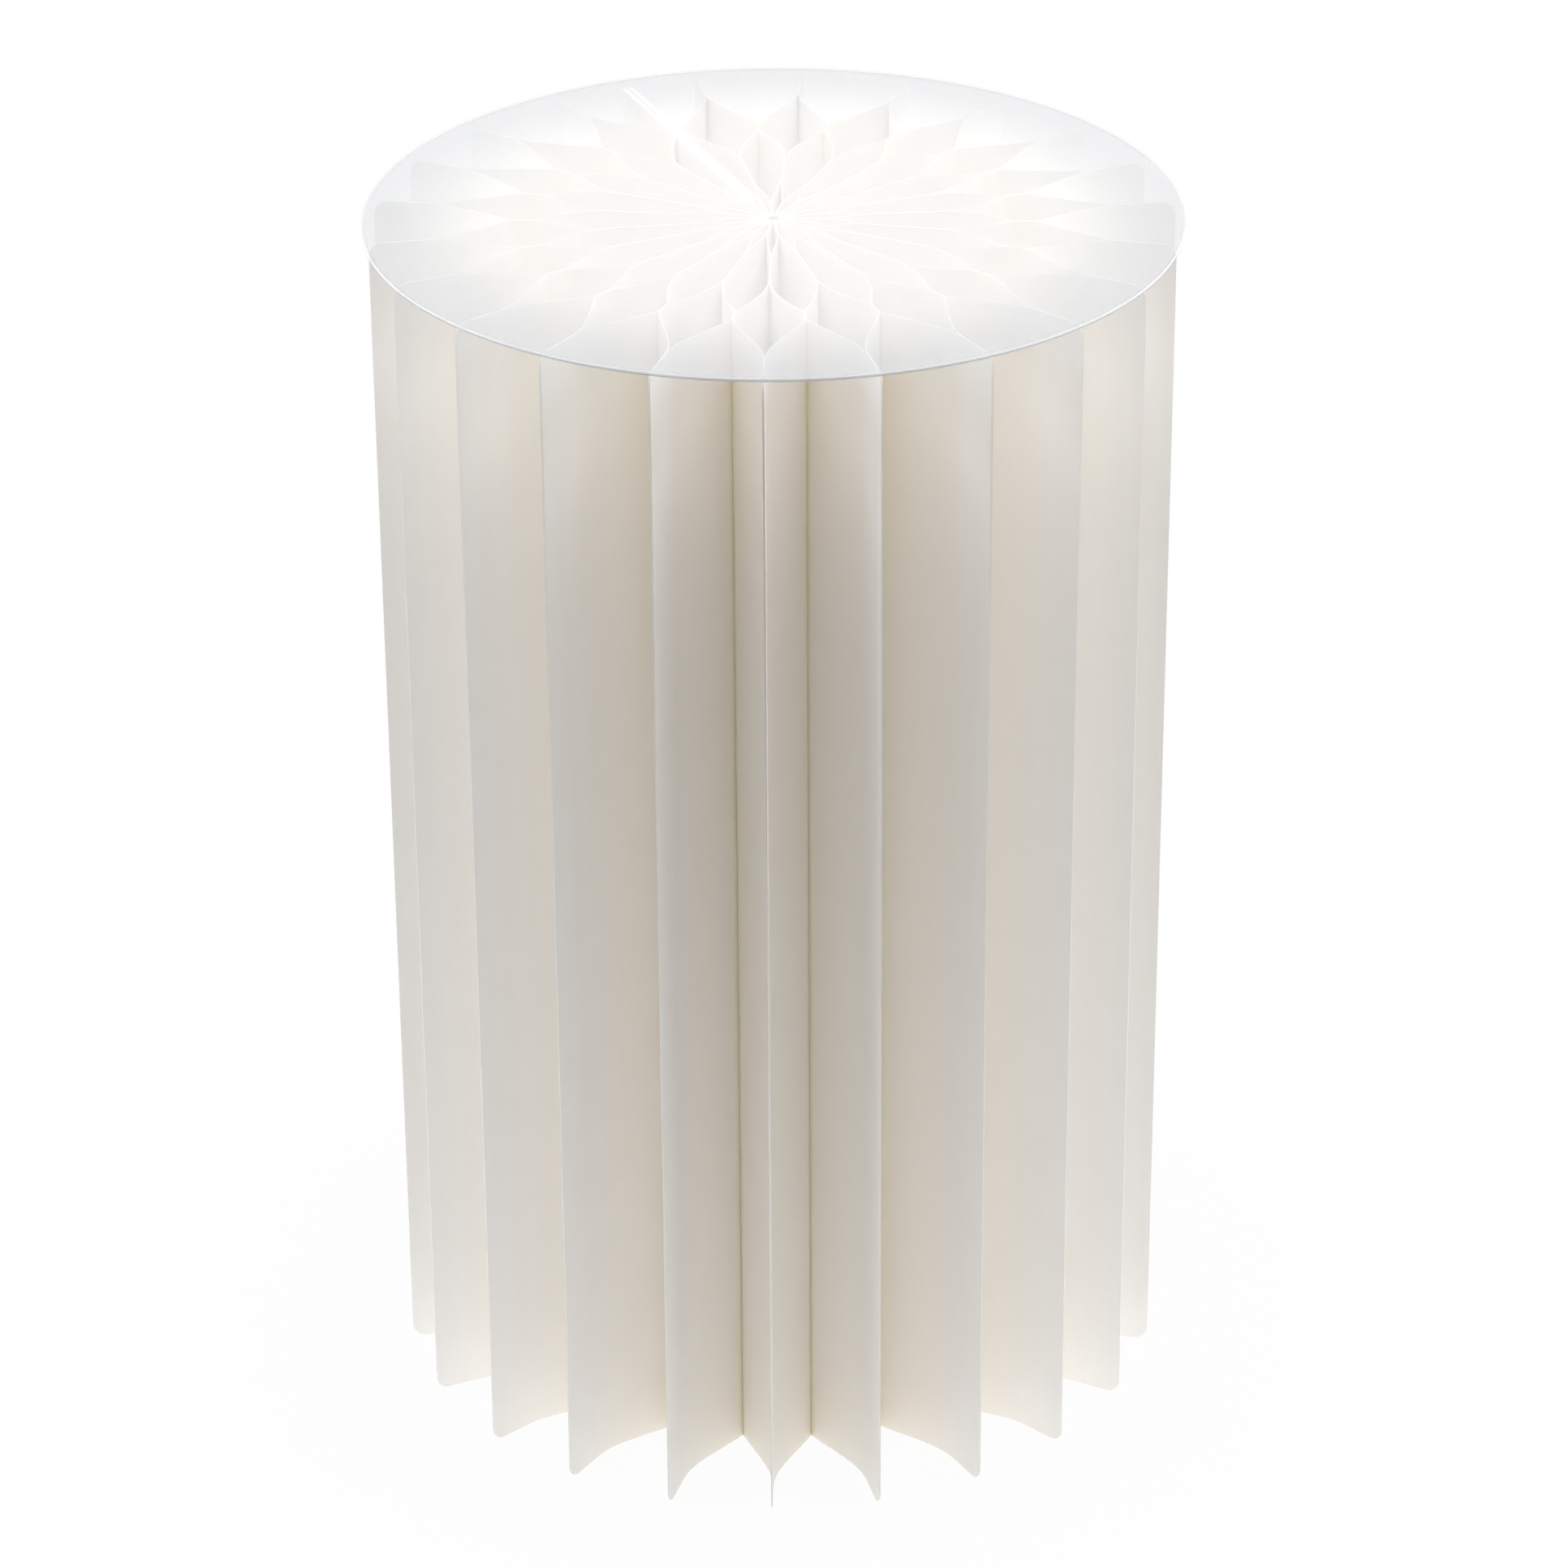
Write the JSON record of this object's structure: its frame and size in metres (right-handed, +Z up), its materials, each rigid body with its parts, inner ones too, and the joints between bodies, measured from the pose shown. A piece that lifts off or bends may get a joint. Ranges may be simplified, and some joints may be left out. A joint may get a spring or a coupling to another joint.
{
  "type": "folding paper pedestal",
  "caption": "Free-standing column of white honeycomb paper leaves that fans open round a spine, closes at a board seam and carries a loose clear disc.",
  "frame": {"origin": "on the floor, on the spine's axis, under the middle of the disc", "axes": "+Z up along the spine; -Y towards the front petal, the side the picture shows"},
  "size_m": [0.406, 0.406, 0.635],
  "materials": {
    "paper": "matt white card with a faint fibre grain",
    "board": "smooth white board",
    "clear_acrylic": "clear, slightly hazy sheet with a polished edge",
    "gripping_pad": "white hook-and-loop tape"
  },
  "bodies": {
    "cover_a": {"end_board_a": "board", "end_leaf_a": "paper", "hook_pad_low": "gripping_pad", "hook_pad_mid": "gripping_pad", "hook_pad_top": "gripping_pad"},
    "petal_01": {"leaf_01a": "paper", "leaf_01b": "paper"},
    "petal_02": {"leaf_02a": "paper", "leaf_02b": "paper"},
    "petal_03": {"leaf_03a": "paper", "leaf_03b": "paper"},
    "petal_04": {"leaf_04a": "paper", "leaf_04b": "paper"},
    "petal_05": {"leaf_05a": "paper", "leaf_05b": "paper"},
    "petal_06": {"leaf_06a": "paper", "leaf_06b": "paper"},
    "petal_07": {"leaf_07a": "paper", "leaf_07b": "paper"},
    "petal_08": {"leaf_08a": "paper", "leaf_08b": "paper"},
    "petal_09": {"leaf_09a": "paper", "leaf_09b": "paper"},
    "petal_10": {"leaf_10a": "paper", "leaf_10b": "paper"},
    "petal_11": {"leaf_11a": "paper", "leaf_11b": "paper"},
    "petal_12": {"leaf_12a": "paper", "leaf_12b": "paper"},
    "petal_13": {"leaf_13a": "paper", "leaf_13b": "paper"},
    "petal_14": {"leaf_14a": "paper", "leaf_14b": "paper"},
    "petal_15": {"leaf_15a": "paper", "leaf_15b": "paper"},
    "petal_16": {"leaf_16a": "paper", "leaf_16b": "paper"},
    "petal_17": {"leaf_17a": "paper", "leaf_17b": "paper"},
    "petal_18": {"leaf_18a": "paper", "leaf_18b": "paper"},
    "petal_19": {"leaf_19a": "paper", "leaf_19b": "paper"},
    "petal_20": {"leaf_20a": "paper", "leaf_20b": "paper"},
    "petal_21": {"leaf_21a": "paper", "leaf_21b": "paper"},
    "petal_22": {"leaf_22a": "paper", "leaf_22b": "paper"},
    "cover_b": {"end_board_b": "board", "end_leaf_b": "paper", "loop_pad_low": "gripping_pad", "loop_pad_mid": "gripping_pad", "loop_pad_top": "gripping_pad"},
    "disc": {"top_disc": "clear_acrylic"}
  },
  "joints": [
    {"name": "fan", "type": "hinge", "parent": "cover_a", "child": "cover_b", "pos_m": [0, 0, 0], "axis": [0, 0, 1], "range_deg": [-345, 0], "deforming": ["leaf_01a", "leaf_01b", "leaf_02a", "leaf_02b", "leaf_03a", "leaf_03b", "leaf_04a", "leaf_04b", "leaf_05a", "leaf_05b", "leaf_06a", "leaf_06b", "leaf_07a", "leaf_07b", "leaf_08a", "leaf_08b", "leaf_09a", "leaf_09b", "leaf_10a", "leaf_10b", "leaf_11a", "leaf_11b", "leaf_12a", "leaf_12b", "leaf_13a", "leaf_13b", "leaf_14a", "leaf_14b", "leaf_15a", "leaf_15b", "leaf_16a", "leaf_16b", "leaf_17a", "leaf_17b", "leaf_18a", "leaf_18b", "leaf_19a", "leaf_19b", "leaf_20a", "leaf_20b", "leaf_21a", "leaf_21b", "leaf_22a", "leaf_22b"]},
    {"name": "petal_01_swing", "type": "hinge", "parent": "cover_a", "child": "petal_01", "pos_m": [0, 0, 0], "axis": [0, 0, 1], "range_deg": [-9.86, 0]},
    {"name": "petal_02_swing", "type": "hinge", "parent": "cover_a", "child": "petal_02", "pos_m": [0, 0, 0], "axis": [0, 0, 1], "range_deg": [-25.35, 0]},
    {"name": "petal_03_swing", "type": "hinge", "parent": "cover_a", "child": "petal_03", "pos_m": [0, 0, 0], "axis": [0, 0, 1], "range_deg": [-40.84, 0]},
    {"name": "petal_04_swing", "type": "hinge", "parent": "cover_a", "child": "petal_04", "pos_m": [0, 0, 0], "axis": [0, 0, 1], "range_deg": [-56.33, 0]},
    {"name": "petal_05_swing", "type": "hinge", "parent": "cover_a", "child": "petal_05", "pos_m": [0, 0, 0], "axis": [0, 0, 1], "range_deg": [-71.82, 0]},
    {"name": "petal_06_swing", "type": "hinge", "parent": "cover_a", "child": "petal_06", "pos_m": [0, 0, 0], "axis": [0, 0, 1], "range_deg": [-87.31, 0]},
    {"name": "petal_07_swing", "type": "hinge", "parent": "cover_a", "child": "petal_07", "pos_m": [0, 0, 0], "axis": [0, 0, 1], "range_deg": [-102.8, 0]},
    {"name": "petal_08_swing", "type": "hinge", "parent": "cover_a", "child": "petal_08", "pos_m": [0, 0, 0], "axis": [0, 0, 1], "range_deg": [-118.29, 0]},
    {"name": "petal_09_swing", "type": "hinge", "parent": "cover_a", "child": "petal_09", "pos_m": [0, 0, 0], "axis": [0, 0, 1], "range_deg": [-133.78, 0]},
    {"name": "petal_10_swing", "type": "hinge", "parent": "cover_a", "child": "petal_10", "pos_m": [0, 0, 0], "axis": [0, 0, 1], "range_deg": [-149.28, 0]},
    {"name": "petal_11_swing", "type": "hinge", "parent": "cover_a", "child": "petal_11", "pos_m": [0, 0, 0], "axis": [0, 0, 1], "range_deg": [-164.76, 0]},
    {"name": "petal_12_swing", "type": "hinge", "parent": "cover_a", "child": "petal_12", "pos_m": [0, 0, 0], "axis": [0, 0, 1], "range_deg": [-180.26, 0]},
    {"name": "petal_13_swing", "type": "hinge", "parent": "cover_a", "child": "petal_13", "pos_m": [0, 0, 0], "axis": [0, 0, 1], "range_deg": [-195.75, 0]},
    {"name": "petal_14_swing", "type": "hinge", "parent": "cover_a", "child": "petal_14", "pos_m": [0, 0, 0], "axis": [0, 0, 1], "range_deg": [-211.24, 0]},
    {"name": "petal_15_swing", "type": "hinge", "parent": "cover_a", "child": "petal_15", "pos_m": [0, 0, 0], "axis": [0, 0, 1], "range_deg": [-226.73, 0]},
    {"name": "petal_16_swing", "type": "hinge", "parent": "cover_a", "child": "petal_16", "pos_m": [0, 0, 0], "axis": [0, 0, 1], "range_deg": [-242.22, 0]},
    {"name": "petal_17_swing", "type": "hinge", "parent": "cover_a", "child": "petal_17", "pos_m": [0, 0, 0], "axis": [0, 0, 1], "range_deg": [-257.71, 0]},
    {"name": "petal_18_swing", "type": "hinge", "parent": "cover_a", "child": "petal_18", "pos_m": [0, 0, 0], "axis": [0, 0, 1], "range_deg": [-273.2, 0]},
    {"name": "petal_19_swing", "type": "hinge", "parent": "cover_a", "child": "petal_19", "pos_m": [0, 0, 0], "axis": [0, 0, 1], "range_deg": [-288.69, 0]},
    {"name": "petal_20_swing", "type": "hinge", "parent": "cover_a", "child": "petal_20", "pos_m": [0, 0, 0], "axis": [0, 0, 1], "range_deg": [-304.18, 0]},
    {"name": "petal_21_swing", "type": "hinge", "parent": "cover_a", "child": "petal_21", "pos_m": [0, 0, 0], "axis": [0, 0, 1], "range_deg": [-319.67, 0]},
    {"name": "petal_22_swing", "type": "hinge", "parent": "cover_a", "child": "petal_22", "pos_m": [0, 0, 0], "axis": [0, 0, 1], "range_deg": [-335.16, 0]},
    {"name": "disc_lift", "type": "slide", "parent": "cover_a", "child": "disc", "axis": [0, 0, 1], "range_m": [0, 0.12]}
  ],
  "couplings": [
    {"joint": "petal_01_swing", "follows": "fan", "ratio": 0.028551},
    {"joint": "petal_02_swing", "follows": "fan", "ratio": 0.073451},
    {"joint": "petal_03_swing", "follows": "fan", "ratio": 0.11835},
    {"joint": "petal_04_swing", "follows": "fan", "ratio": 0.16325},
    {"joint": "petal_05_swing", "follows": "fan", "ratio": 0.20815},
    {"joint": "petal_06_swing", "follows": "fan", "ratio": 0.25305},
    {"joint": "petal_07_swing", "follows": "fan", "ratio": 0.29795},
    {"joint": "petal_08_swing", "follows": "fan", "ratio": 0.34285},
    {"joint": "petal_09_swing", "follows": "fan", "ratio": 0.38775},
    {"joint": "petal_10_swing", "follows": "fan", "ratio": 0.43265},
    {"joint": "petal_11_swing", "follows": "fan", "ratio": 0.47755},
    {"joint": "petal_12_swing", "follows": "fan", "ratio": 0.52245},
    {"joint": "petal_13_swing", "follows": "fan", "ratio": 0.56735},
    {"joint": "petal_14_swing", "follows": "fan", "ratio": 0.61225},
    {"joint": "petal_15_swing", "follows": "fan", "ratio": 0.65715},
    {"joint": "petal_16_swing", "follows": "fan", "ratio": 0.70205},
    {"joint": "petal_17_swing", "follows": "fan", "ratio": 0.74695},
    {"joint": "petal_18_swing", "follows": "fan", "ratio": 0.79185},
    {"joint": "petal_19_swing", "follows": "fan", "ratio": 0.83675},
    {"joint": "petal_20_swing", "follows": "fan", "ratio": 0.88165},
    {"joint": "petal_21_swing", "follows": "fan", "ratio": 0.92655},
    {"joint": "petal_22_swing", "follows": "fan", "ratio": 0.97145}
  ]
}
